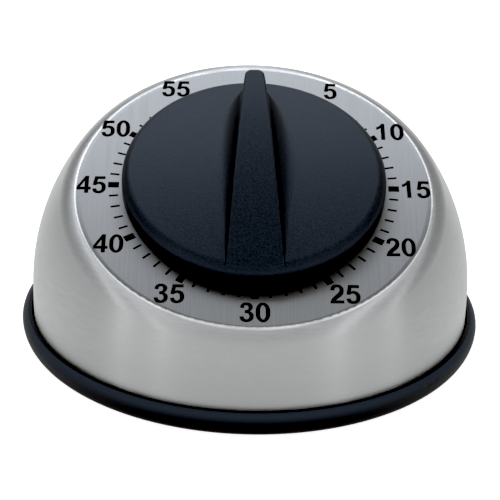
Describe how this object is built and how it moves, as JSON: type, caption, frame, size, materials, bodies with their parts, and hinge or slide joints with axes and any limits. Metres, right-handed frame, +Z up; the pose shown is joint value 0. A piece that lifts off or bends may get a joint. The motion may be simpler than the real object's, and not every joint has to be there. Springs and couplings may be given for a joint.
{
  "type": "kitchen timer",
  "caption": "Wind-up kitchen timer: a satin steel dome with a slanted dial, a disc knob with a pointer fin, a rubber foot ring, and a geared movement with a bell inside.",
  "frame": {"origin": "on the table under the middle of the rubber foot ring", "axes": "+Z up, the slanted dial faces -Y, +X to the right as seen from the front"},
  "size_m": [0.0884, 0.0884, 0.0508],
  "materials": {
    "dome_shell": "satin brushed stainless",
    "base_plate": "moulded",
    "base_ring": "semi-matte",
    "base_screws": "turned and pressed steel",
    "shell_brackets": "turned and pressed steel",
    "front_plate": "stamped and turned brass",
    "back_plate": "stamped and turned brass",
    "plate_pillars": "stamped and turned brass",
    "pillar_screws": "turned and pressed steel",
    "centre_bush": "stamped and turned brass",
    "centre_nut": "stamped and turned brass",
    "dial_washer": "turned and pressed steel",
    "locating_pin": "turned and pressed steel",
    "spring_post": "turned and pressed steel",
    "main_spring": "turned and pressed steel",
    "bell": "turned and pressed steel",
    "bell_post": "turned and pressed steel",
    "bell_screw": "turned and pressed steel",
    "hammer_pin": "turned and pressed steel",
    "spring_stud": "turned and pressed steel",
    "hammer_spring": "turned and pressed steel",
    "knob": "fine matte grain",
    "knob_clip": "turned and pressed steel",
    "main_arbor": "turned and pressed steel",
    "main_wheel": "stamped and turned brass",
    "clutch_spring": "turned and pressed steel",
    "clutch_collar": "turned and pressed steel",
    "trip_cam": "turned and pressed steel",
    "second_pinion": "turned and pressed steel",
    "second_wheel": "stamped and turned brass",
    "strike_star": "turned and pressed steel",
    "third_pinion": "turned and pressed steel",
    "third_wheel": "stamped and turned brass",
    "escape_pinion": "turned and pressed steel",
    "escape_wheel": "stamped and turned brass",
    "balance_arbor": "turned and pressed steel",
    "pallet_lever": "turned and pressed steel",
    "pallet_pins": "turned and pressed steel",
    "balance_bar": "stamped and turned brass",
    "hammer_lever": "turned and pressed steel",
    "hammer_head": "turned and pressed steel"
  },
  "bodies": {
    "case": {"dome_shell": "dome_shell", "base_plate": "base_plate", "base_ring": "base_ring", "base_screws": "base_screws", "shell_brackets": "shell_brackets", "front_plate": "front_plate", "back_plate": "back_plate", "plate_pillars": "plate_pillars", "pillar_screws": "pillar_screws", "centre_bush": "centre_bush", "centre_nut": "centre_nut", "dial_washer": "dial_washer", "locating_pin": "locating_pin", "spring_post": "spring_post", "main_spring": "main_spring", "bell": "bell", "bell_post": "bell_post", "bell_screw": "bell_screw", "hammer_pin": "hammer_pin", "spring_stud": "spring_stud", "hammer_spring": "hammer_spring"},
    "winding": {"knob": "knob", "knob_clip": "knob_clip", "main_arbor": "main_arbor", "main_wheel": "main_wheel", "clutch_spring": "clutch_spring", "clutch_collar": "clutch_collar", "trip_cam": "trip_cam"},
    "second": {"second_pinion": "second_pinion", "second_wheel": "second_wheel", "strike_star": "strike_star"},
    "third": {"third_pinion": "third_pinion", "third_wheel": "third_wheel"},
    "escape": {"escape_pinion": "escape_pinion", "escape_wheel": "escape_wheel"},
    "balance": {"balance_arbor": "balance_arbor", "pallet_lever": "pallet_lever", "pallet_pins": "pallet_pins", "balance_bar": "balance_bar"},
    "hammer": {"hammer_lever": "hammer_lever", "hammer_head": "hammer_head"}
  },
  "joints": [
    {"name": "knob_turn", "type": "hinge", "parent": "case", "child": "winding", "pos_m": [0, -0.00862, 0.03322], "axis": [0, 0.3971, -0.9178], "range_deg": [0, 360], "deforming": ["main_spring"]},
    {"name": "second_spin", "type": "hinge", "parent": "case", "child": "second", "pos_m": [-0.014, -0.00862, 0.03322], "axis": [0, 0.3971, -0.9178], "continuous": true},
    {"name": "third_spin", "type": "hinge", "parent": "case", "child": "third", "pos_m": [-0.00981, 0.00195, 0.03779], "axis": [0, 0.3971, -0.9178], "continuous": true},
    {"name": "escape_spin", "type": "hinge", "parent": "case", "child": "escape", "pos_m": [-0.00072, 0.00676, 0.03987], "axis": [0, 0.3971, -0.9178], "continuous": true},
    {"name": "balance_swing", "type": "hinge", "parent": "case", "child": "balance", "pos_m": [0.00667, 0.00796, 0.04039], "axis": [0, 0.3971, -0.9178], "range_deg": [-6, 6]},
    {"name": "hammer_swing", "type": "hinge", "parent": "case", "child": "hammer", "pos_m": [-0.0105, -0.00467, 0.03492], "axis": [0, -0.3971, 0.9178], "range_deg": [-3, 7], "stiffness_Nm_per_rad": 0.01, "deforming": ["hammer_spring"]}
  ],
  "couplings": [
    {"joint": "second_spin", "follows": "knob_turn", "ratio": -6},
    {"joint": "third_spin", "follows": "knob_turn", "ratio": 36},
    {"joint": "escape_spin", "follows": "knob_turn", "ratio": -216}
  ]
}
